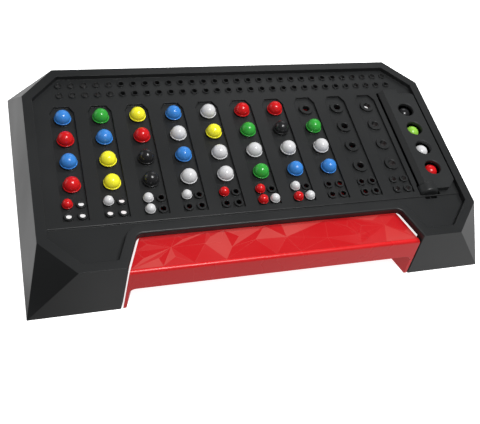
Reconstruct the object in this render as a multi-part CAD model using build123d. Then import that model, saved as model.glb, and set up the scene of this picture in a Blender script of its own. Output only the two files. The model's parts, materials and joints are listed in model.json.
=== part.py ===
from build123d import *
import os
from math import atan2, degrees, hypot

# Code breaking peg game. Millimetres, +Z up, floor at Z = 0.
# X runs along the ten columns, -Y is the player's side, and the origin is the middle of the base.

os.makedirs("parts", exist_ok=True)

over = 1.0
seat_gap = 0.05
peg_clearance = 0.08
pin_clearance = 0.05

# Playing field, laid out from the left and from the back
columns = 10
column_pitch = 20.0
left_margin = 14.6
code_rows = 4
code_pitch = 14.62
key_shift = 3.3
key_pitch = 6.83
key_offset = 11.08
storage_columns = 30
storage_end_margin = 14.7
storage_back_margin = 4.8
storage_row_pitch = 7.2
panel_back_gap = 7.9
panel_half = 6.4
panel_corner_x = 2.5
panel_corner_y = 4.2
panel_back_margin = 8.5
panel_front_margin = 3.2
panel_depth = 1.2
step_gap = 3.8
strip_depth = 3.05
strip_drop = 0.6
step_round = 0.5

# Hood over the secret row and what it needs in the housing
column_to_slot = 9.4
slot_width = 7.0
slot_to_well = 1.2
well_width = 12.3
ledge_width = 3.5
well_depth = 4.2
well_land = 0.55
secret_boss_rise = 1.3
secret_boss_diameter = 8.0
secret_inset = 4.8
hinge_from_slot = 5.8
hinge_depth = 1.6

# Housing
height = 32.2
rim_rise = 2.7
rim_width = 5.0
rim_round = 0.9
wall = 2.0
skin = 1.7
side_lean = 7.5
front_lean = 4.9
back_lean = 8.4
corner_cut_x = 17.0
corner_cut_y = 18.5
cut_depth = 18.45
cut_back_half = 71.8
cut_front_half = 79.2
cut_corner = 4.0
lip_gap = 0.4
lip_wall = 1.6
bead_pocket = 3.0

# Pegs
peg_radius = 4.45
peg_flat = 0.85
peg_stem = 3.7
peg_stem_length = 8.5
peg_tip = 0.5
peg_skirt = 0.6
peg_step = 0.35
key_radius = 2.7
key_flat = 0.6
key_stem = 2.7
key_stem_length = 6.5
key_tip = 0.3
key_skirt = 0.4
key_step = 0.2
skirt_round = 0.12
boss_diameter = 8.4
boss_mouth = 0.3
key_boss_diameter = 4.9
storage_boss_diameter = 4.0
storage_boss_rise = 0.7
key_skin = 1.2
key_relief_half = 5.5
key_relief_end = 2.2
key_relief_diameter = 4.2

# Hood
hood_rise = 3.2
hood_plate = 2.0
hood_wall = 1.6
hood_rim_gap = 1.4
hood_ridge_lead = 3.3
hood_foot_lead = 1.2
hood_foot_thickness = 1.8
hood_far_margin = 12.9
hood_near_margin = 14.7
hood_corner = 5.0
hood_far_corner = 1.5
hood_seat_gap = 0.1
window_diameter = 9.5
window_mouth = 0.4
near_ear_diameter = 11.6
near_ear_length = 1.75
near_ear_bite = 5.0
ear_round = 1.6
far_ear_diameter = 8.8
far_ear_length = 3.5
far_tab_width = 9.2
ear_clearance = 0.3
ear_pocket_clearance = 0.5
pin_diameter = 1.6
pin_ear_bite = 2.4
pin_block_bite = 4.0
block_half = 5.0
block_length = 5.0
notch_length = 1.4
notch_half = 3.7
notch_drop = 2.5
channel_wall = 1.5
channel_skin = 1.6
rib_gap = 0.3
rib_wall = 1.6
rib_depth = 8.4

# Drawer
drawer_drop = 4.3
drawer_plate = 2.0
drawer_panel = 1.8
drawer_gap = 0.9
drawer_bend = 1.8
drawer_tuck = 2.4
drawer_floor_gap = 0.5
leg_inset = 0.4
leg_wall = 1.2
arch_top = 15.3
arch_corner = 3.0
box_half = 64.0
box_bottom = 2.0
box_rim_gap = 1.0
box_wall = 1.6
box_back_gap = 7.0
box_dividers = 2
flange_reach = 2.2
flange_thickness = 1.6
runner_gap = 0.3
runner_wall = 2.0
runner_ledge = 1.7
runner_front_gap = 3.0
label_thickness = 0.12
label_margin = 0.2

# Levels
field_top = height - rim_rise
strip_top = field_top - strip_drop
panel_floor = field_top - panel_depth
under = panel_floor - skin
well_floor = field_top - well_depth
secret_boss_top = well_floor + secret_boss_rise
lip_depth = drawer_drop - lip_gap
bead_under = height - lip_depth
drawer_top = height - drawer_drop
drawer_under = drawer_top - drawer_plate

# Places along X
inner_length = (left_margin + (columns - 1) * column_pitch + column_to_slot + slot_width + slot_to_well
                + well_width + ledge_width)
inner_left = -inner_length / 2
inner_right = inner_length / 2
top_half = inner_right + rim_width
base_half = top_half + side_lean
column_x = [inner_left + left_margin + c * column_pitch for c in range(columns)]
slot_left = column_x[-1] + column_to_slot
slot_right = slot_left + slot_width
well_left = slot_right + slot_to_well
well_right = well_left + well_width
secret_x = well_left + secret_inset
hinge_x = slot_left + hinge_from_slot
hinge_z = field_top - hinge_depth
storage_pitch = (inner_length - 2 * storage_end_margin) / (storage_columns - 1)
storage_x = [inner_left + storage_end_margin + n * storage_pitch for n in range(storage_columns)]

# Places along Y, worked forward from the back rim; the base rectangle is centred on the origin
code_span = (code_rows - 1) * code_pitch
field_depth = (storage_back_margin + storage_row_pitch + panel_back_gap + panel_back_margin + code_span
               + key_offset + key_pitch + panel_front_margin + step_gap)
top_depth = rim_width + field_depth + strip_depth + rim_width + cut_depth
base_depth = top_depth + front_lean + back_lean
top_back = base_depth / 2 - back_lean
top_front = front_lean - base_depth / 2
storage_y = [top_back - rim_width - storage_back_margin - n * storage_row_pitch for n in range(2)]
panel_back = storage_y[-1] - panel_back_gap
code_y = [panel_back - panel_back_margin - r * code_pitch for r in range(code_rows)]
key_y = [code_y[-1] - key_offset - n * key_pitch for n in range(2)]
panel_front = key_y[-1] - panel_front_margin
step_y = panel_front - step_gap
cut_back = step_y - strip_depth - rim_width
secret_y = [y - code_pitch / 2 for y in code_y]
cut_flare = (cut_front_half - cut_back_half) / cut_depth
cut_slant = hypot(cut_flare, 1)

hood_far = secret_y[0] + hood_far_margin
hood_near = secret_y[-1] - hood_near_margin
hood_right = inner_right - hood_rim_gap
hood_top = field_top + hood_rise
hood_bottom = field_top + hood_seat_gap
ear_far = hood_far + far_ear_length
ear_near = hood_near - near_ear_length
channel_far = ear_far + ear_clearance
channel_near = ear_near - ear_clearance
channel_floor = hinge_z - near_ear_diameter / 2 - ear_pocket_clearance
channel_bottom = channel_floor - channel_skin
notch_front = step_y - notch_length


def beyond(points, along, inset):
    # Plane through three points, facing the side that "along" points to, moved inwards
    first, second, third = [Vector(*p) for p in points]
    normal = (second - first).cross(third - first).normalized()
    if normal.dot(Vector(*along)) < 0:
        normal = -normal
    return Plane(origin=first - normal * inset, z_dir=normal)


def form(inset, low, high):
    # Faceted body of the housing with every outer face moved inwards, between two levels
    half_depth = base_depth / 2
    solid = Pos(0, 0, low) * extrude(Rectangle(2 * base_half, base_depth), high - low)
    planes = []
    for side in (-1, 1):
        planes.append(beyond([(side * base_half, 0, 0), (side * base_half, over, 0), (side * top_half, 0, height)],
                             (side, 0, 0), inset))
        for top_y, base_y in ((top_back, half_depth), (top_front, -half_depth)):
            end = 1 if base_y > 0 else -1
            corner = (side * base_half, base_y, 0)
            on_side = (side * top_half, top_y - end * corner_cut_y, height)
            on_end = (side * (top_half - corner_cut_x), top_y, height)
            planes.append(beyond([corner, on_side, on_end], (side, end, 0), inset))
    for top_y, base_y in ((top_back, half_depth), (top_front, -half_depth)):
        planes.append(beyond([(0, base_y, 0), (over, base_y, 0), (0, top_y, height)], (0, base_y, 0), inset))
    for plane in planes:
        solid = split(solid, bisect_by=plane, keep=Keep.BOTTOM)
    return solid


def cut_half(y, spread):
    return cut_back_half + (cut_back - y) * cut_flare + spread * cut_slant


def trapezoid(spread, back, corner):
    # Plan of the cut-out in front, spread outwards and ended at the line "back"
    front = -base_depth / 2 - over
    plan = Polygon((-cut_half(front, spread), front), (cut_half(front, spread), front),
                   (cut_half(back, spread), back), (-cut_half(back, spread), back), align=None)
    if corner > 0:
        plan = fillet(plan.vertices().group_by(Axis.Y)[-1], corner)
    return plan


def prism(plan, low, high):
    return Pos(0, 0, low) * extrude(plan, high - low, dir=(0, 0, 1))


def bar(profile, y0, y1):
    # Solid of one section, drawn in X and Z, between two places along Y
    upright = Plane(origin=(0, y1, 0), x_dir=(1, 0, 0), z_dir=(0, -1, 0))
    return upright * extrude(profile, y1 - y0, dir=(0, 0, 1))


def block(x0, x1, y0, y1, z0, z1):
    return Pos((x0 + x1) / 2, (y0 + y1) / 2, z0) * extrude(Rectangle(x1 - x0, y1 - y0), z1 - z0)


def rod(x, z, y0, y1, diameter):
    # Cylinder along Y
    turned = Plane(origin=(x, y0, z), z_dir=(0, 1, 0))
    return turned * extrude(Circle(diameter / 2), y1 - y0)


def discs(places, diameter):
    plan = Sketch()
    for x, y in places:
        plan += Pos(x, y) * Circle(diameter / 2)
    return plan


def save(solid, name):
    export_step(solid, "parts/" + name + ".step")


code_places = [(x, y) for x in column_x for y in code_y]
key_places = [(x + side * key_shift, y) for x in column_x for y in key_y for side in (-1, 1)]
storage_places = [(x, y) for y in storage_y for x in storage_x]
secret_places = [(secret_x, y) for y in secret_y]
code_hole = peg_stem + 2 * peg_clearance
key_hole = key_stem + 2 * peg_clearance
pin_hole = pin_diameter + 2 * pin_clearance


# Housing: one moulded shell, open underneath
def make_housing():
    body = form(0, 0, height)
    hollow = form(wall, -over, under)
    around = trapezoid(bead_pocket, cut_back + bead_pocket, cut_corner + bead_pocket)
    hollow += prism(around, -over, bead_under) & form(wall, -over, height)
    edge = trapezoid(lip_wall, cut_back + lip_wall, cut_corner + lip_wall)
    hollow -= prism(edge, -over, height) - form(lip_depth, -over - over, bead_under)
    body -= hollow
    body -= prism(trapezoid(0, cut_back, cut_corner), -over, height + over)

    # Sunken top inside the rim, which also runs round the cut-out
    outline = Polygon((-top_half, top_front + corner_cut_y), (corner_cut_x - top_half, top_front),
                      (top_half - corner_cut_x, top_front), (top_half, top_front + corner_cut_y),
                      (top_half, top_back - corner_cut_y), (top_half - corner_cut_x, top_back),
                      (corner_cut_x - top_half, top_back), (-top_half, top_back - corner_cut_y), align=None)
    sunk = offset(outline, -rim_width, kind=Kind.INTERSECTION)
    sunk -= trapezoid(rim_width, cut_back + rim_width, cut_corner + rim_width)
    body -= prism(sunk, field_top, height + over)
    strip = sunk & (Pos(0, (step_y + top_front) / 2) * Rectangle(2 * base_half, step_y - top_front))
    body -= prism(strip, strip_top, field_top)

    # Column panels, with the bosses left standing
    panels = Sketch()
    for x in column_x:
        panels += Polygon((x - panel_half, panel_front), (x + panel_half, panel_front),
                          (x + panel_half, panel_back - panel_corner_y),
                          (x + panel_half - panel_corner_x, panel_back),
                          (x - panel_half + panel_corner_x, panel_back),
                          (x - panel_half, panel_back - panel_corner_y), align=None)
    panels -= discs(code_places, boss_diameter)
    panels -= discs(key_places, key_boss_diameter)
    body -= prism(panels, panel_floor, field_top)
    body += prism(discs(storage_places, storage_boss_diameter), field_top, field_top + storage_boss_rise)

    # Well of the secret row
    well_far = hood_far - hood_wall - well_land
    well_near = hood_near + hood_wall + well_land
    body += block(slot_right, well_right + wall, well_near - wall, well_far + wall, well_floor - skin, under)
    well = block(well_left, well_right, well_near, well_far, well_floor, field_top)
    well -= prism(discs(secret_places, secret_boss_diameter), well_floor - over, secret_boss_top)
    body -= well

    # Channel beside the hood with pockets for its ears, and blocks that hold the hinge pins
    pocket_left = hinge_x - near_ear_diameter / 2 - ear_pocket_clearance
    near_right = hinge_x + near_ear_diameter / 2 + ear_pocket_clearance
    far_right = hinge_x + far_ear_diameter / 2 + ear_pocket_clearance
    near_inner = hood_near + near_ear_bite + ear_clearance
    far_inner = hood_far - ear_clearance
    outer_left = pocket_left - channel_wall
    body += block(outer_left, well_left, channel_near, channel_far, channel_bottom, under)
    body += block(outer_left, near_right + channel_wall, channel_near, near_inner + channel_wall,
                  channel_bottom, under)
    body += block(outer_left, far_right + channel_wall, far_inner - channel_wall, channel_far,
                  channel_bottom, under)
    body += block(hinge_x - block_half, hinge_x + block_half, notch_front - block_length, channel_near,
                  channel_bottom, under)
    body += block(outer_left, far_right + channel_wall, channel_far, channel_far + block_length,
                  channel_bottom, under)
    body -= block(slot_left, slot_right, channel_near, channel_far, channel_floor, field_top)
    body -= block(pocket_left, near_right, channel_near, near_inner, channel_floor, field_top)
    body -= block(slot_left, far_right, far_inner, channel_far, channel_floor, field_top)
    body -= block(hinge_x - notch_half, hinge_x + notch_half, notch_front, step_y, hinge_z - notch_drop, field_top)
    body -= rod(hinge_x, hinge_z, ear_far, channel_far + pin_block_bite + ear_clearance, pin_hole)
    body -= rod(hinge_x, hinge_z, notch_front - pin_block_bite - ear_clearance, ear_near, pin_hole)

    # Stiffening rib beside the last column
    rib_left = column_x[-1] + code_hole / 2 + rib_gap
    body += block(rib_left, rib_left + rib_wall, code_y[-1], code_y[0], under - rib_depth, under)

    # Runners for the drawer
    flange_top = box_top
    flange_bottom = flange_top - flange_thickness
    ledge_top = flange_bottom - runner_gap
    runner_inner = box_half + flange_reach + runner_gap
    runner_front = step_y + runner_front_gap
    for side in (-1, 1):
        rib = block(runner_inner, runner_inner + runner_wall, runner_front, box_back,
                    ledge_top - runner_ledge, under)
        rib += block(box_half + runner_gap, runner_inner, runner_front, box_back,
                     ledge_top - runner_ledge, ledge_top)
        body += rib if side > 0 else mirror(rib, about=Plane.YZ)

    # Reliefs under the key holes, which leave a thin seat round each, except in the last column
    relieved = key_places[:-4]
    for x in column_x[:-1]:
        body -= block(x - key_relief_half, x + key_relief_half, key_y[-1] - key_relief_end,
                      key_y[0] + key_relief_end, under - seat_gap, panel_floor - key_skin)
    body -= prism(discs(relieved, key_relief_diameter), under - seat_gap, field_top - key_skin)

    # Holes, clear below the pegs' tips
    body -= prism(discs(code_places, code_hole), field_top - peg_stem_length - over, height)
    body -= prism(discs(secret_places, code_hole), secret_boss_top - peg_stem_length - over, height)
    body -= prism(discs(key_places, key_hole), field_top - key_stem_length - over, height)
    body -= prism(discs(storage_places, key_hole), well_floor - skin - over, height)
    for places, level in ((code_places, field_top), (secret_places, secret_boss_top)):
        for x, y in places:
            cone = Cone(code_hole / 2, code_hole / 2 + boss_mouth, boss_mouth,
                        align=(Align.CENTER, Align.CENTER, Align.MAX))
            body -= Pos(x, y, level) * cone

    # Softened edges of the cut-out and of the step in the field
    edges = body.edges().filter_by_position(Axis.Z, height - seat_gap, height + seat_gap)
    around_cut = edges.filter_by(lambda e: abs(e.center().X) < cut_front_half and top_front + over < e.center().Y < 0)
    inside_cut = around_cut.filter_by(lambda e: e.center().Y < cut_back + over)
    inner_side = inside_cut.filter_by(lambda e: abs(e.center().X) < cut_half(e.center().Y, rim_width / 2))
    body = fillet(inner_side, rim_round)
    steps = body.edges().filter_by(Axis.X).filter_by_position(Axis.Z, field_top - seat_gap, field_top + seat_gap)
    steps = steps.filter_by_position(Axis.Y, step_y - seat_gap, step_y + seat_gap)
    return fillet(steps, step_round)


# Hood: plate with four windows, three low walls and a round ear at each end of the hinge line
def make_hood():
    left = slot_left + hood_foot_lead
    ridge = slot_left + hood_ridge_lead
    profile = Polygon((left, hood_bottom), (ridge, hood_top), (hood_right, hood_top), (hood_right, hood_bottom),
                      align=None)
    room = Polygon((left + hood_foot_thickness, hood_bottom - over),
                   (left + hood_foot_thickness, hood_bottom),
                   (ridge + hood_foot_thickness, hood_top - hood_plate),
                   (hood_right - hood_wall, hood_top - hood_plate),
                   (hood_right - hood_wall, hood_bottom - over), align=None)
    hood = bar(profile, hood_near, hood_far) - bar(room, hood_near + hood_wall, hood_far - hood_wall)
    for x, y, leg, end in ((hood_right, hood_near, hood_corner, 1), (hood_right, hood_far, hood_far_corner, -1)):
        outside = Polygon((x - leg, y), (x, y + end * leg), (x, y), align=None)
        inside = Polygon((x - leg - hood_wall, y), (x, y + end * (leg + hood_wall)), (x, y), align=None)
        inside &= (Pos((hood_right + left) / 2, (hood_near + hood_far) / 2)
                   * Rectangle(hood_right - left - 2 * hood_wall, hood_far - hood_near - 2 * hood_wall))
        hood += prism(inside, hood_bottom, hood_top)
        hood -= prism(outside, hood_bottom - over, hood_top + over)
    tab = Polygon((left, hood_bottom), (ridge, hood_top), (ridge + far_tab_width, hood_top),
                  (ridge + far_tab_width, hood_bottom), align=None)
    hood += bar(tab, hood_far, ear_far)
    hood += rod(hinge_x, hinge_z, hood_far, ear_far, far_ear_diameter)
    near_ear = rod(hinge_x, hinge_z, ear_near, hood_near + near_ear_bite, near_ear_diameter)
    hood += fillet(near_ear.edges().filter_by(GeomType.CIRCLE), ear_round)
    hood -= prism(discs(secret_places, window_diameter), hood_bottom, hood_top + over)
    for x, y in secret_places:
        mouth = Cone(window_diameter / 2, window_diameter / 2 + window_mouth, window_mouth,
                     align=(Align.CENTER, Align.CENTER, Align.MAX))
        hood -= Pos(x, y, hood_top) * mouth
    hood -= rod(hinge_x, hinge_z, ear_near - over, ear_near + pin_ear_bite + seat_gap, pin_hole)
    hood -= rod(hinge_x, hinge_z, ear_far - pin_ear_bite - seat_gap, ear_far + over, pin_hole)
    return hood


# Drawer: bent front cover with an arch and two side walls, and a tray with compartments behind it
box_top = field_top - peg_stem_length - box_rim_gap
box_back = top_back - box_back_gap
box_front = cut_back + drawer_tuck


def make_drawer():
    cover = prism(trapezoid(-drawer_gap, box_front, 0), drawer_floor_gap, drawer_top)
    cover &= form(0, 0, height)
    bend = cover.edges().filter_by(Axis.X).group_by(Axis.Z)[-1].sort_by(Axis.Y)[0]
    cover = fillet(bend, drawer_bend)
    behind = form(drawer_panel, -over, drawer_under)
    outer = -drawer_gap - leg_inset
    sides = trapezoid(outer, box_front, 0) - trapezoid(outer - leg_wall, box_front + over, 0)
    cover -= behind - prism(sides, drawer_floor_gap, drawer_under)
    arch = prism(trapezoid(outer - leg_wall, box_front, 0), -over, arch_top)
    arch_tops = arch.edges().group_by(Axis.Z)[-1].sort_by(Axis.X)
    arch = fillet([arch_tops[0], arch_tops[-1]], arch_corner)
    cover -= arch - behind

    wall_half = cut_half(box_front, outer)
    tray = block(-wall_half, wall_half, box_front - box_wall, box_front, box_bottom, drawer_under)
    tray += block(-box_half, box_half, box_front, box_back, box_bottom, box_top)
    flange_half = box_half + flange_reach
    tray += block(-flange_half, flange_half, box_front, box_back, box_top - flange_thickness, box_top)
    room = (2 * (box_half - box_wall) - box_dividers * box_wall) / (box_dividers + 1)
    for n in range(box_dividers + 1):
        start = box_wall - box_half + n * (room + box_wall)
        tray -= block(start, start + room, box_front + box_wall, box_back - box_wall, box_bottom + box_wall,
                      box_top + over)
    return cover + tray


def make_label():
    back = cut_back - label_margin
    front = top_front - front_lean * drawer_drop / height + drawer_bend + label_margin
    spread = -drawer_gap - label_margin
    plan = Polygon((-cut_half(front, spread), front), (cut_half(front, spread), front),
                   (cut_half(back, spread), back), (-cut_half(back, spread), back), align=None)
    return prism(plan, drawer_top, drawer_top + label_thickness)


def make_peg(radius, flat, stem, length, tip, skirt, step):
    # Domed head on a low skirt, with a straight stem; the origin is the middle of the flat underside
    head = Pos(0, 0, flat + step) * Sphere(radius - step)
    head -= Pos(0, 0, -radius) * extrude(Rectangle(2 * radius, 2 * radius), radius)
    rim = extrude(Circle(radius), skirt)
    head += fillet(rim.edges().group_by(Axis.Z)[-1], skirt_round)
    shaft = Pos(0, 0, -length) * extrude(Circle(stem / 2), length + flat)
    shaft = chamfer(shaft.edges().group_by(Axis.Z)[0], tip)
    return head + shaft


code_peg = make_peg(peg_radius, peg_flat, peg_stem, peg_stem_length, peg_tip, peg_skirt, peg_step)
key_peg = make_peg(key_radius, key_flat, key_stem, key_stem_length, key_tip, key_skirt, key_step)

# Columns of seated pegs, counted from the left: rows from the back, and key holes in reading order
seated_rows = [(1, 2, 3, 4)] * 7 + [(2, 3, 4)]
seated_keys = [(1,), (1,), (1, 3), (1,), (1,), (1, 3, 4), (1, 3, 4), ()]

save(make_housing(), "top_housing")
save(make_hood(), "code_shield")
far_start = ear_far - pin_ear_bite
far_stop = channel_far + pin_block_bite
near_start = ear_near + pin_ear_bite
near_stop = notch_front - pin_block_bite
save(rod(hinge_x, hinge_z, far_start, far_stop, pin_diameter), "shield_hinge_pin_back")
save(rod(hinge_x, hinge_z, near_stop, near_start, pin_diameter), "shield_hinge_pin_front")
save(make_drawer(), "storage_drawer")
save(make_label(), "drawer_label")

for column, rows in enumerate(seated_rows):
    for row in rows:
        place = Pos(column_x[column], code_y[row - 1], field_top + seat_gap)
        save(place * code_peg, "code_peg_" + str(column + 1) + "_" + str(row))
for row in range(code_rows):
    save(Pos(secret_x, secret_y[row], secret_boss_top + seat_gap) * code_peg, "secret_peg_" + str(row + 1))
for column, holes in enumerate(seated_keys):
    for hole in holes:
        side = 2 * ((hole - 1) % 2) - 1
        place = Pos(column_x[column] + side * key_shift, key_y[(hole - 1) // 2], field_top + seat_gap)
        save(place * key_peg, "key_peg_" + str(column + 1) + "_" + str(hole))

# Spare pegs lying in the tray, each on the rim of its head and on its stem tip
tilt = degrees(atan2(peg_radius - peg_stem / 2, peg_stem_length - peg_tip))
lying = Rot(0, tilt - 90, 0) * code_peg
lift = box_bottom + box_wall + seat_gap - lying.bounding_box().min.Z
spare_spot_shares = {"spare_peg_red": (-0.82, 0.1, 20), "spare_peg_light_green": (-0.48, 0.15, -35),
                     "spare_peg_amber": (0.06, 0.1, 75), "spare_peg_light_blue": (0.66, 0.14, 140)}
for name, (across, along, turn) in spare_spot_shares.items():
    spot = Pos(across * box_half, box_front + along * (box_back - box_front), lift)
    save(spot * Rot(0, 0, turn) * lying, name)
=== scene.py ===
import bpy
import bmesh
import json
import math
import random
from mathutils import Matrix, Vector


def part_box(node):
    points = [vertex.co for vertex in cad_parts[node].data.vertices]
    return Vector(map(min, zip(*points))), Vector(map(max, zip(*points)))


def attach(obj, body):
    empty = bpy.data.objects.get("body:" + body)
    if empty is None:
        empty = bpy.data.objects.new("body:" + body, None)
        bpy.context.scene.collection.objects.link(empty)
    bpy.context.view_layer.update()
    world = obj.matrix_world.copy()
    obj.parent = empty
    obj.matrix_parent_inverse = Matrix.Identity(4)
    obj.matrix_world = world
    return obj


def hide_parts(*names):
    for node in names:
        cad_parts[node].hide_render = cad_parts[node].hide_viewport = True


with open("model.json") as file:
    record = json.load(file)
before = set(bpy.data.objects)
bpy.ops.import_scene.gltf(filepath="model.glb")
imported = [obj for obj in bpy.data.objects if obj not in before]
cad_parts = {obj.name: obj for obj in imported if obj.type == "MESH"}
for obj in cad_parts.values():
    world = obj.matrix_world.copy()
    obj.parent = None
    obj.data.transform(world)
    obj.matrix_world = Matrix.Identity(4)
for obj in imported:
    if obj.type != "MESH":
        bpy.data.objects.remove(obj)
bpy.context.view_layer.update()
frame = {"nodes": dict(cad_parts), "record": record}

mm = 0.001
mergeGap = 0.001 * mm  # points nearer than this become one
nodes = frame["nodes"]
slotOf = {row["node"]: row["material_slot"] for row in frame["record"]["subparts"]}
bodyOf = {node: body for body, names in frame["record"]["behaviour"]["bodies"].items() for node in names}
print("frame loaded:", len(nodes), "nodes")


def setInputs(node, values):
    for name, value in values.items():
        node.inputs[name].default_value = value


def addNode(tree, kind, values=None):
    node = tree.nodes.new(kind)
    setInputs(node, values or {})
    return node


def startMaterial(name):
    material = bpy.data.materials.new(name)
    material.use_nodes = True
    tree = material.node_tree
    return material, tree, tree.nodes["Principled BSDF"]


def objectPlace(tree):
    return tree.nodes.new("ShaderNodeTexCoord").outputs["Object"]


noiseSpan = {"low": 0.3, "high": 0.7}  # nearly all of a noise's values lie between these


def noise(tree, place, size, detail, roughness=0.5):
    node = addNode(tree, "ShaderNodeTexNoise", {"Scale": 1 / size, "Detail": detail, "Roughness": roughness})
    tree.links.new(place, node.inputs["Vector"])
    return node.outputs["Fac"]


def ramp(tree, source, low, high):
    node = tree.nodes.new("ShaderNodeValToRGB")
    for stop, position, colour in zip(node.color_ramp.elements, noiseSpan.values(), (low, high)):
        stop.position = position
        stop.color = (*colour, 1)
    tree.links.new(source, node.inputs["Fac"])
    return node.outputs["Color"]


def remap(tree, source, low, high):
    node = addNode(tree, "ShaderNodeMapRange", {"From Min": noiseSpan["low"], "From Max": noiseSpan["high"],
                                                "To Min": low, "To Max": high})
    tree.links.new(source, node.inputs["Value"])
    return node.outputs["Result"]


def tintAndSheen(tree, shader, look, tint, sheen):
    tree.links.new(ramp(tree, tint, look["dark"], look["light"]), shader.inputs["Base Color"])
    tree.links.new(remap(tree, sheen, look["roughLow"], look["roughHigh"]), shader.inputs["Roughness"])


def bump(tree, height, distance, normal=None):
    node = addNode(tree, "ShaderNodeBump", {"Distance": distance, "Strength": 1.0})
    tree.links.new(height, node.inputs["Height"])
    if normal is not None:
        tree.links.new(normal, node.inputs["Normal"])
    return node.outputs["Normal"]


def softEdges(tree, radius, samples=4):
    node = addNode(tree, "ShaderNodeBevel", {"Radius": radius})
    node.samples = samples
    return node.outputs["Normal"]


# Black moulded plastic of the housing and the shield: fine spark-eroded grain, slightly uneven sheen
blackPlastic = {"dark": (0.0140, 0.0148, 0.0152), "light": (0.0172, 0.0180, 0.0185), "patchSize": 45 * mm,
                "grainSize": 0.35 * mm, "grainRoughness": 0.6, "grainDepth": 0.012 * mm,
                "roughLow": 0.34, "roughHigh": 0.42, "edgeRadius": 0.45 * mm, "specular": 0.42}
shieldTone = {"dark": (0.0180, 0.0190, 0.0195), "light": (0.0215, 0.0225, 0.0230)}  # the shield is paler


def makeBlackPlastic(name, look):
    material, tree, shader = startMaterial(name)
    place = objectPlace(tree)
    patches = noise(tree, place, look["patchSize"], detail=2.0)
    grain = noise(tree, place, look["grainSize"], detail=2.0, roughness=look["grainRoughness"])
    tintAndSheen(tree, shader, look, patches, patches)
    rounded = softEdges(tree, look["edgeRadius"])
    tree.links.new(bump(tree, grain, look["grainDepth"], rounded), shader.inputs["Normal"])
    setInputs(shader, {"Specular IOR Level": look["specular"]})
    return material


# Red drawer plastic: smooth, with a faint wave from moulding
redPlastic = {"dark": (0.58, 0.0055, 0.008), "light": (0.62, 0.0075, 0.010), "patchSize": 60 * mm,
              "waveSize": 14 * mm, "waveDepth": 0.02 * mm, "roughLow": 0.24, "roughHigh": 0.32,
              "edgeRadius": 0.3 * mm, "specular": 0.45}


def makeRedPlastic(name, look):
    material, tree, shader = startMaterial(name)
    place = objectPlace(tree)
    patches = noise(tree, place, look["patchSize"], detail=2.0)
    wave = noise(tree, place, look["waveSize"], detail=1.0)
    tintAndSheen(tree, shader, look, patches, wave)
    rounded = softEdges(tree, look["edgeRadius"])
    tree.links.new(bump(tree, wave, look["waveDepth"], rounded), shader.inputs["Normal"])
    setInputs(shader, {"Specular IOR Level": look["specular"]})
    return material


# Peg plastics: one recipe, one colour each
pegPlastic = {"patchSize": 3 * mm, "waveDepth": 0.012 * mm, "darkShare": 0.95, "roughLow": 0.20,
              "roughHigh": 0.28, "coat": 0.25, "coatRough": 0.08}
pegColours = {"blue": (0.040, 0.21, 0.60), "red": (0.56, 0.008, 0.010), "yellow": (0.88, 0.82, 0.030),
              "green": (0.034, 0.34, 0.042), "light_green": (0.26, 0.55, 0.06), "white": (0.60, 0.60, 0.61),
              "black": (0.016, 0.016, 0.017), "amber": (0.86, 0.36, 0.020), "light_blue": (0.17, 0.47, 0.74)}


def makePegPlastic(name, colour, look):
    material, tree, shader = startMaterial(name)
    patches = noise(tree, objectPlace(tree), look["patchSize"], detail=1.0)
    darker = tuple(look["darkShare"] * part for part in colour)
    tintAndSheen(tree, shader, {**look, "dark": darker, "light": colour}, patches, patches)
    tree.links.new(bump(tree, patches, look["waveDepth"]), shader.inputs["Normal"])
    setInputs(shader, {"Coat Weight": look["coat"], "Coat Roughness": look["coatRough"]})
    return material


# Blackened steel of the hinge pins, drawn along their length
pinSteel = {"dark": (0.035, 0.035, 0.037), "light": (0.06, 0.06, 0.063), "streakSize": 0.25 * mm,
            "stretch": (1, 0.05, 1), "roughLow": 0.40, "roughHigh": 0.56}


def makePinSteel(name, look):
    material, tree, shader = startMaterial(name)
    stretch = addNode(tree, "ShaderNodeMapping", {"Scale": look["stretch"]})
    tree.links.new(objectPlace(tree), stretch.inputs["Vector"])
    streaks = noise(tree, stretch.outputs["Vector"], look["streakSize"], detail=3.0)
    tintAndSheen(tree, shader, look, streaks, streaks)
    setInputs(shader, {"Metallic": 1.0})
    return material


housingMaterial = makeBlackPlastic("blackMouldedPlastic", blackPlastic)
shieldMaterial = makeBlackPlastic("shieldPlastic", {**blackPlastic, **shieldTone})
drawerMaterial = makeRedPlastic("redMouldedPlastic", redPlastic)
steelMaterial = makePinSteel("blackenedSteel", pinSteel)
pegMaterials = {name: makePegPlastic("pegPlastic_" + name, colour, pegPlastic)
                for name, colour in pegColours.items()}
print("materials made:", len(bpy.data.materials))


def finishPiece(name, build, materials, node):
    mesh = bpy.data.meshes.new(name)
    build.to_mesh(mesh)
    build.free()
    for material in materials:
        mesh.materials.append(material)
    piece = bpy.data.objects.new(name, mesh)
    bpy.context.scene.collection.objects.link(piece)
    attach(piece, bodyOf[node])
    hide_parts(node)
    return piece


def smoothCopy(node, name, material):
    # The CAD surface with its doubles merged, so that its rounds shade smoothly
    build = bmesh.new()
    build.from_mesh(nodes[node].data)
    bmesh.ops.remove_doubles(build, verts=build.verts, dist=mergeGap)
    for face in build.faces:
        face.material_index = 0
        face.smooth = True
    for edge in build.edges:
        edge.smooth = len(edge.link_faces) == 2 and edge.calc_face_angle(0.0) < shellAngle
    return finishPiece(name, build, [material], node)


def dress(node, material):
    mesh = nodes[node].data
    mesh.materials.clear()
    mesh.materials.append(material)


shellAngle = math.radians(24)  # sharper edges than this stay crisp
shells = {"top_housing": ("housingShell", housingMaterial), "code_shield": ("shieldShell", shieldMaterial),
          "storage_drawer": ("drawerShell", drawerMaterial)}
for node, (name, material) in shells.items():
    smoothCopy(node, name, material)
for node in ("shield_hinge_pin_back", "shield_hinge_pin_front"):
    dress(node, steelMaterial)
print("shells made")


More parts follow.
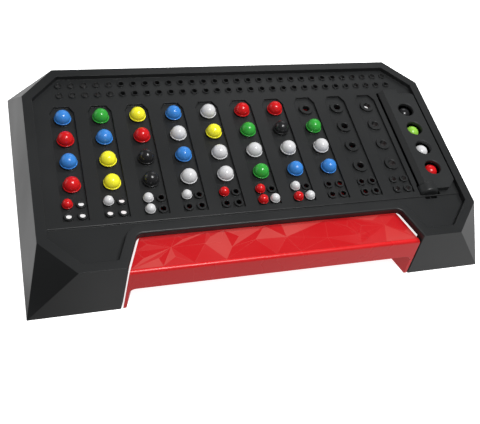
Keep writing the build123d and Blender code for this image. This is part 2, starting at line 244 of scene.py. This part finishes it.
# Pegs: a dome on a low skirt with rounded rims, on a stem with a bevelled tip
codePeg = {"radius": 4.45 * mm, "flat": 0.85 * mm, "stem": 3.7 * mm, "length": 8.5 * mm, "tip": 0.5 * mm,
           "skirt": 0.6 * mm, "step": 0.35 * mm, "rimRound": 0.14 * mm, "around": 40, "rings": 11}
keyPeg = {"radius": 2.7 * mm, "flat": 0.6 * mm, "stem": 2.7 * mm, "length": 6.5 * mm, "tip": 0.3 * mm,
          "skirt": 0.4 * mm, "step": 0.2 * mm, "rimRound": 0.10 * mm, "around": 32, "rings": 9}
pegEdges = {"rimAngle": math.radians(60), "rimReach": 0.01 * mm, "rimSegments": 3,
            "smoothAngle": math.radians(35)}


def spinPeg(size):
    build = bmesh.new()
    dome = size["radius"] - size["step"]
    centre = size["flat"] + size["step"]
    foot = math.asin((size["skirt"] - centre) / dome)
    profile = [(0, -size["length"]), (size["stem"] / 2 - size["tip"], -size["length"]),
               (size["stem"] / 2, size["tip"] - size["length"]), (size["stem"] / 2, 0),
               (size["radius"], 0), (size["radius"], size["skirt"])]
    for ring in range(size["rings"] + 1):
        turn = foot + (math.pi / 2 - foot) * ring / size["rings"]
        profile.append((dome * math.cos(turn), centre + dome * math.sin(turn)))
    profile[-1] = (0, profile[-1][1])  # the crown closes on the axis
    points = [build.verts.new((x, 0, z)) for x, z in profile]
    edges = [build.edges.new(pair) for pair in zip(points, points[1:])]
    bmesh.ops.spin(build, geom=points + edges, cent=(0, 0, 0), axis=(0, 0, 1), dvec=(0, 0, 0),
                   angle=2 * math.pi, steps=size["around"], use_merge=True, use_duplicate=False)
    bmesh.ops.remove_doubles(build, verts=build.verts, dist=mergeGap)
    bmesh.ops.recalc_face_normals(build, faces=build.faces)
    rims = [edge for edge in build.edges if edge.calc_face_angle(0.0) > pegEdges["rimAngle"]
            and all(vert.co.xy.length > size["radius"] - pegEdges["rimReach"] for vert in edge.verts)]
    bmesh.ops.bevel(build, geom=rims, offset=size["rimRound"], segments=pegEdges["rimSegments"],
                    profile=0.5, affect="EDGES", material=-1)
    for face in build.faces:
        face.smooth = True
    for edge in build.edges:
        edge.smooth = edge.calc_face_angle(0.0) < pegEdges["smoothAngle"]
    return build


def seatPeg(node, size, turn=None):
    build = spinPeg(size)
    if turn is not None:
        bmesh.ops.transform(build, matrix=turn, verts=build.verts)
    low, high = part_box(node)
    least, most = (Vector([pick(vert.co[axis] for vert in build.verts) for axis in range(3)])
                   for pick in (min, max))
    place = (low + high - least - most) / 2
    place.z = low.z - least.z
    bmesh.ops.translate(build, vec=place, verts=build.verts)
    colour = slotOf[node].split("_", 1)[1]
    return finishPiece(node.replace("_peg", "Peg"), build, [pegMaterials[colour]], node)


# Spare pegs lie in the drawer on the rim of the head and the tip, each turned by so many degrees
sparePegs = {"spare_peg_red": 20, "spare_peg_light_green": -35, "spare_peg_amber": 75,
             "spare_peg_light_blue": 140}
lean = math.atan2(codePeg["radius"] - codePeg["stem"] / 2, codePeg["length"] - codePeg["tip"]) - math.pi / 2
for node in sorted(nodes):
    if node.startswith(("code_peg", "secret_peg")):
        seatPeg(node, codePeg)
    elif node.startswith("key_peg"):
        seatPeg(node, keyPeg)
    elif node in sparePegs:
        heading = Matrix.Rotation(math.radians(sparePegs[node]), 4, "Z")
        seatPeg(node, codePeg, heading @ Matrix.Rotation(lean, 4, "Y"))
print("pegs made")


# Printed film on the drawer: irregular facets in a few reds with fine pale lines between them
film = {"columns": 9, "rows": 2, "jitterAlong": 0.36, "jitterAcross": 0.30, "splitShare": 0.4, "seed": 41,
        "lineWidth": 0.09 * mm, "litShare": 0.26, "softShare": 0.30}
filmTones = {"plain": (0.45, 0.006, 0.009), "soft": (0.47, 0.017, 0.019), "lit": (0.50, 0.052, 0.047),
             "line": (0.52, 0.070, 0.062)}
filmGloss = {"fadeSize": 22 * mm, "plainShare": 0.45, "roughLow": 0.22, "roughHigh": 0.30,
             "waveDepth": 0.01 * mm, "coat": 0.2, "coatRough": 0.1}


def makeFilmPrint(name, colour, look):
    material, tree, shader = startMaterial(name)
    fade = noise(tree, objectPlace(tree), look["fadeSize"], detail=1.0)
    faded = tuple(look["plainShare"] * plain + (1 - look["plainShare"]) * part
                  for plain, part in zip(filmTones["plain"], colour))
    tintAndSheen(tree, shader, {**look, "dark": faded, "light": colour}, fade, fade)
    tree.links.new(bump(tree, fade, look["waveDepth"]), shader.inputs["Normal"])
    setInputs(shader, {"Coat Weight": look["coat"], "Coat Roughness": look["coatRough"]})
    return material


def pickTone(toss):
    if toss < film["litShare"]:
        return "lit"
    return "soft" if toss < film["litShare"] + film["softShare"] else "plain"


def makeFilm():
    chance = random.Random(film["seed"])
    low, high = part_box("drawer_label")
    edgeGap = 0.1 * mm
    corners = [vert.co for vert in nodes["drawer_label"].data.vertices]
    backHalf = max(abs(point.x) for point in corners if point.y > high.y - edgeGap)
    frontHalf = high.x
    build = bmesh.new()
    bmesh.ops.create_grid(build, x_segments=film["columns"], y_segments=film["rows"], size=1.0)
    # The grid runs from -1 to 1 both ways, and only points inside its border move
    cellAlong = 2 / film["columns"]
    cellAcross = 2 / film["rows"]
    border = 0.99
    for vert in build.verts:
        if abs(vert.co.x) < border:
            vert.co.x += chance.uniform(-1, 1) * film["jitterAlong"] * cellAlong
        if abs(vert.co.y) < border:
            vert.co.y += chance.uniform(-1, 1) * film["jitterAcross"] * cellAcross
    for face in list(build.faces):
        method = chance.choice(("FIXED", "ALTERNATE"))
        bmesh.ops.triangulate(build, faces=[face], quad_method=method)
    picked = [face for face in build.faces if chance.random() < film["splitShare"]]
    bmesh.ops.poke(build, faces=picked)
    for vert in build.verts:
        share = (vert.co.y + 1) / 2
        half = frontHalf + (backHalf - frontHalf) * share
        vert.co = Vector((vert.co.x * half, low.y + (high.y - low.y) * share, high.z))
    lines = set(bmesh.ops.inset_individual(build, faces=build.faces, thickness=film["lineWidth"])["faces"])
    toneOrder = list(filmTones)
    for face in build.faces:
        tone = "line" if face in lines else pickTone(chance.random())
        face.material_index = toneOrder.index(tone)
    # The border is drawn down to the underside and closed there
    rim = [edge for edge in build.edges if edge.is_boundary]
    wall = bmesh.ops.extrude_edge_only(build, edges=rim)["geom"]
    bmesh.ops.translate(build, vec=(0, 0, low.z - high.z),
                        verts=[part for part in wall if isinstance(part, bmesh.types.BMVert)])
    bottom = [edge for edge in build.edges if edge.is_boundary]
    bmesh.ops.contextual_create(build, geom=bottom, mat_nr=0)
    bmesh.ops.recalc_face_normals(build, faces=build.faces)
    materials = [makeFilmPrint("filmPrint_" + tone, colour, filmGloss) for tone, colour in filmTones.items()]
    return finishPiece("printedFilm", build, materials, "drawer_label")


makeFilm()
print("film made")


# Floor and world: pale to the eye, with a soft shadow left on the floor. The game itself sees a darker room,
# whose floor darkens from farEdge to nearEdge in Y and there from rightEdge to leftEdge in X
stage = {"size": 6.0, "rough": 0.9, "albedo": 0.80, "glow": 0.90, "unseenAlbedo": 0.22, "unseenGlow": 1.0,
         "nearEdge": -0.080, "farEdge": -0.035, "leftEdge": -0.16, "rightEdge": 0.14, "frontShare": 0.24,
         "farTone": 0.72, "cornerTone": 0.02, "frontTone": 0.46, "rightTone": 0.58,
         "worldGrey": 0.36, "mirroredGrey": 0.04}


def grey(tone):
    return (tone, tone, tone, 1)


def unseenTone(tree):
    place = tree.nodes.new("ShaderNodeSeparateXYZ")
    tree.links.new(objectPlace(tree), place.inputs["Vector"])
    sideways = addNode(tree, "ShaderNodeMapRange", {"From Min": stage["leftEdge"],
                                                    "From Max": stage["rightEdge"]})
    tree.links.new(place.outputs["X"], sideways.inputs["Value"])
    front = tree.nodes.new("ShaderNodeValToRGB")
    stops = front.color_ramp.elements
    stops[0].color = grey(stage["cornerTone"])
    stops[1].color = grey(stage["rightTone"])
    stops.new(stage["frontShare"]).color = grey(stage["frontTone"])
    tree.links.new(sideways.outputs["Result"], front.inputs["Fac"])
    tone = addNode(tree, "ShaderNodeMapRange", {"From Min": stage["nearEdge"], "From Max": stage["farEdge"],
                                                "To Max": stage["farTone"]})
    tone.interpolation_type = "SMOOTHSTEP"
    tree.links.new(place.outputs["Y"], tone.inputs["Value"])
    tree.links.new(front.outputs["Color"], tone.inputs["To Min"])
    return tone.outputs["Result"]


def makeFloor():
    build = bmesh.new()
    bmesh.ops.create_grid(build, x_segments=1, y_segments=1, size=stage["size"] / 2)
    mesh = bpy.data.meshes.new("floor")
    build.to_mesh(mesh)
    build.free()
    floor = bpy.data.objects.new("floor", mesh)
    bpy.context.scene.collection.objects.link(floor)
    material, tree, shader = startMaterial("paleFloor")
    setInputs(shader, {"Roughness": stage["rough"], "Specular IOR Level": 0.0, "Emission Color": grey(1)})
    tone = unseenTone(tree)
    path = tree.nodes.new("ShaderNodeLightPath")
    for socket, seen, unseen in (("Base Color", "albedo", "unseenAlbedo"),
                                 ("Emission Strength", "glow", "unseenGlow")):
        scaled = tree.nodes.new("ShaderNodeMath")
        scaled.operation = "MULTIPLY"
        scaled.inputs[1].default_value = stage[unseen]
        tree.links.new(tone, scaled.inputs[0])
        choice = addNode(tree, "ShaderNodeMapRange", {"To Max": stage[seen]})
        tree.links.new(path.outputs["Is Camera Ray"], choice.inputs["Value"])
        tree.links.new(scaled.outputs[0], choice.inputs["To Min"])
        tree.links.new(choice.outputs["Result"], shader.inputs[socket])
    mesh.materials.append(material)


def makeWorld():
    world = bpy.data.worlds.new("paleRoom")
    bpy.context.scene.world = world
    world.use_nodes = True
    tree = world.node_tree
    background = tree.nodes["Background"]
    setInputs(background, {"Strength": 1.0})
    path = tree.nodes.new("ShaderNodeLightPath")
    room = addNode(tree, "ShaderNodeMapRange", {"To Min": stage["worldGrey"],
                                                "To Max": stage["mirroredGrey"]})
    tree.links.new(path.outputs["Is Glossy Ray"], room.inputs["Value"])
    white = tree.nodes.new("ShaderNodeMath")  # the eye sees white in place of the room's grey
    white.operation = "MAXIMUM"
    tree.links.new(room.outputs["Result"], white.inputs[0])
    tree.links.new(path.outputs["Is Camera Ray"], white.inputs[1])
    tree.links.new(white.outputs[0], background.inputs["Color"])


# Lamps: place and size in metres, power in watts, and whether the plastics mirror them
lamps = {"keyBackRight": {"place": (0.70, 0.34, 1.06), "size": 0.25, "watts": 10.0, "mirrored": False},
         "softAbove": {"place": (0.13, -0.23, 1.04), "size": 0.42, "watts": 7.5, "mirrored": True},
         "paleWindow": {"place": (0.50, 1.15, 0.72), "size": 0.8, "watts": 1.4, "mirrored": True},
         "paleWall": {"place": (-1.35, 0.85, 0.42), "size": 1.2, "watts": 2.4, "mirrored": True}}
lampAim = Vector((0, 0, 0.02))


def makeLamps():
    for name, lamp in lamps.items():
        light = bpy.data.lights.new(name, "AREA")
        light.shape = "DISK"
        light.size = lamp["size"]
        light.energy = lamp["watts"]
        holder = bpy.data.objects.new(name, light)
        holder.location = lamp["place"]
        holder.rotation_euler = (lampAim - Vector(lamp["place"])).to_track_quat("-Z", "Y").to_euler()
        holder.visible_glossy = lamp["mirrored"]
        bpy.context.scene.collection.objects.link(holder)


# Camera, solved from the grid of holes and the outline: place in metres, lens and sensor in millimetres
eye = {"place": (-0.1250, -0.2249, 0.3218), "right": (0.9510, -0.2342, 0.2018),
       "ahead": (0.2972, 0.5126, -0.8056), "lens": 52.78, "sensor": 36.0, "nearClip": 0.01}


def makeCamera():
    lens = bpy.data.cameras.new("eye")
    lens.lens = eye["lens"]
    lens.sensor_width = eye["sensor"]
    lens.clip_start = eye["nearClip"]
    camera = bpy.data.objects.new("eye", lens)
    back = -Vector(eye["ahead"]).normalized()
    right = Vector(eye["right"])
    right = (right - back * right.dot(back)).normalized()
    up = back.cross(right)
    camera.matrix_world = Matrix.Translation(eye["place"]) @ Matrix((right, up, back)).transposed().to_4x4()
    bpy.context.scene.collection.objects.link(camera)
    bpy.context.scene.camera = camera


makeFloor()
makeWorld()
makeLamps()
makeCamera()
bpy.context.scene.view_settings.view_transform = "Standard"
print("stage made")
